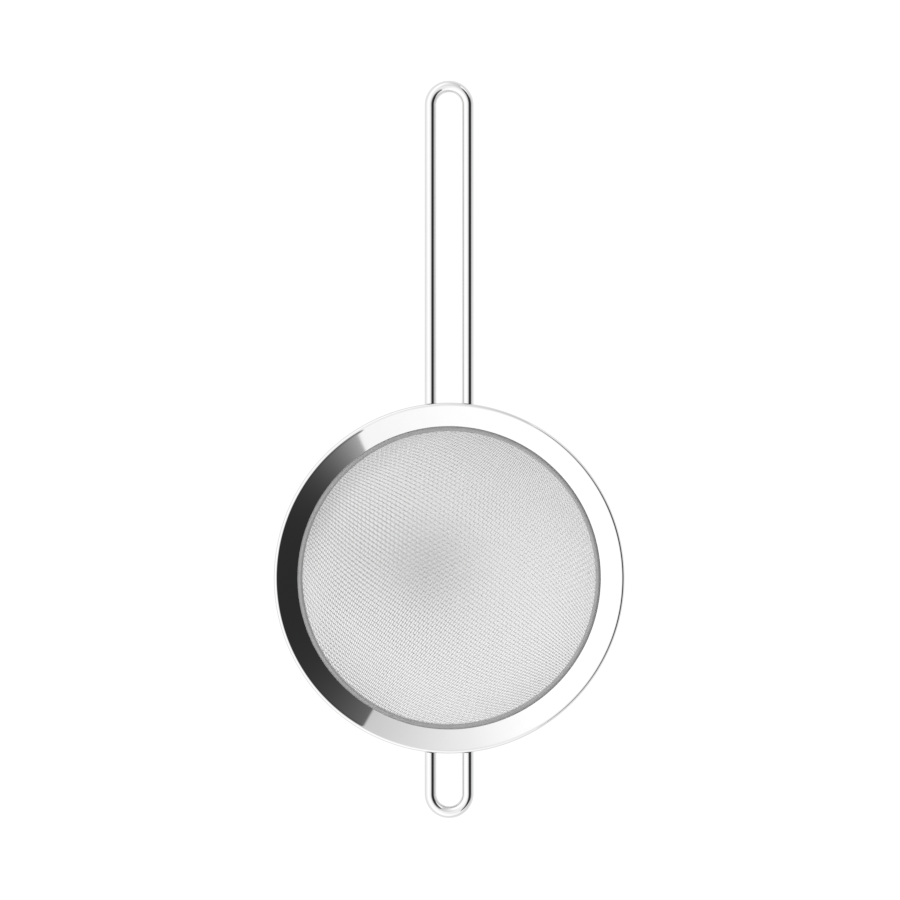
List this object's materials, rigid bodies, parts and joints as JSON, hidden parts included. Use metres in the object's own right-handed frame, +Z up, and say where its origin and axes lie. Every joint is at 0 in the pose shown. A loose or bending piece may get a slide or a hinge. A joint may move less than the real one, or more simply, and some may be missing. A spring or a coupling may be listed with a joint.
{
  "type": "tea strainer",
  "caption": "Hand-held tea strainer: a round woven-wire bowl clamped in a polished funnel rim, with a long U-shaped wire handle and a short wire loop that rests on the cup.",
  "frame": {"origin": "on the bowl's axis, in the plane that lies on a cup: the underside of the rim's skirt and of both wires", "axes": "+Z up along the bowl's axis, out of its mouth; +Y along the long handle; -Y along the rest loop; +X to the right when the handle points away"},
  "size_m": [0.08, 0.1683, 0.032],
  "materials": {
    "polished_steel": "mirror-polished bare stainless steel",
    "satin_steel": "unpolished satin grey stainless steel",
    "mesh_wire": "bright drawn stainless steel wire, plain weave"
  },
  "bodies": {
    "root": {"rim_flange": "polished_steel", "clamp_ring": "satin_steel", "mesh_bowl": "mesh_wire", "handle_wire": "polished_steel", "rest_loop": "polished_steel"}
  },
  "joints": []
}
